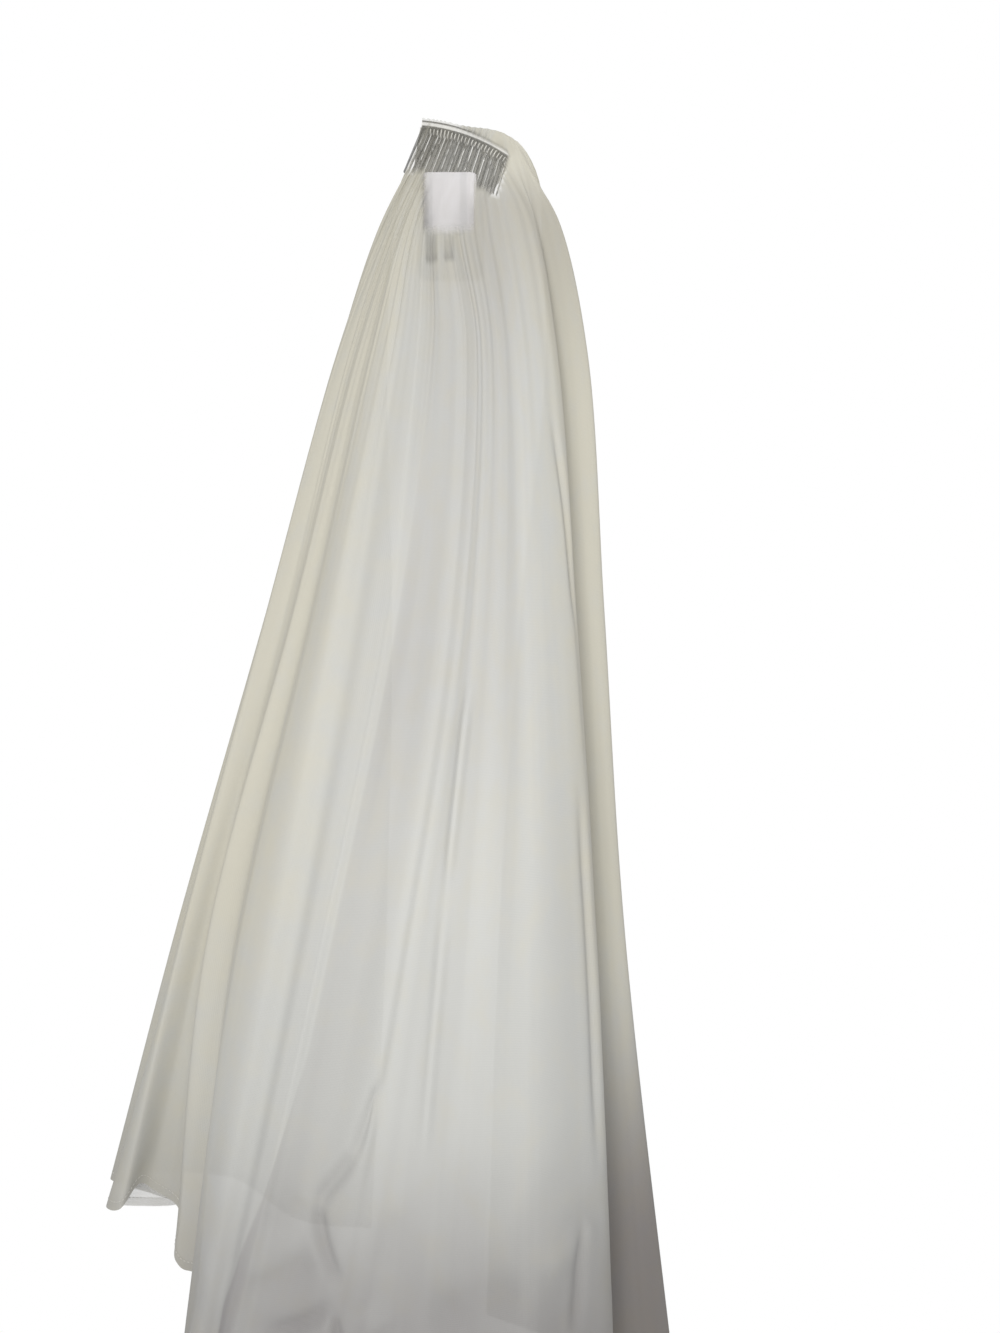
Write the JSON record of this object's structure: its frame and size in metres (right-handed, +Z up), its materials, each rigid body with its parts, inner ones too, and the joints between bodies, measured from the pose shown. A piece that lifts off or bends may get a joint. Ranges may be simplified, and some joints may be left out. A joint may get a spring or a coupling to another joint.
{
  "type": "bridal veil on a wall hook",
  "caption": "Long single-tier tulle veil gathered onto a clear hair comb, hanging in loose folds from a plain white wall hook.",
  "frame": {"origin": "middle of the wall hook's flat back face, on the wall", "axes": "+Z up, +Y into the wall, +X to the right as seen from the room; the cloth hangs on the -Y side"},
  "size_m": [0.5372, 0.2566, 1.285],
  "materials": {
    "hook_plastic": "satin white plastic",
    "comb_plastic": "clear glossy plastic",
    "tulle": "fine ivory tulle, soft and sheer",
    "tulle_hem": "narrow turned hem of the same tulle"
  },
  "bodies": {
    "root": {"wall_hook": "hook_plastic", "comb": "comb_plastic", "veil_tulle": "tulle", "hem_fold": "tulle_hem"}
  },
  "joints": []
}
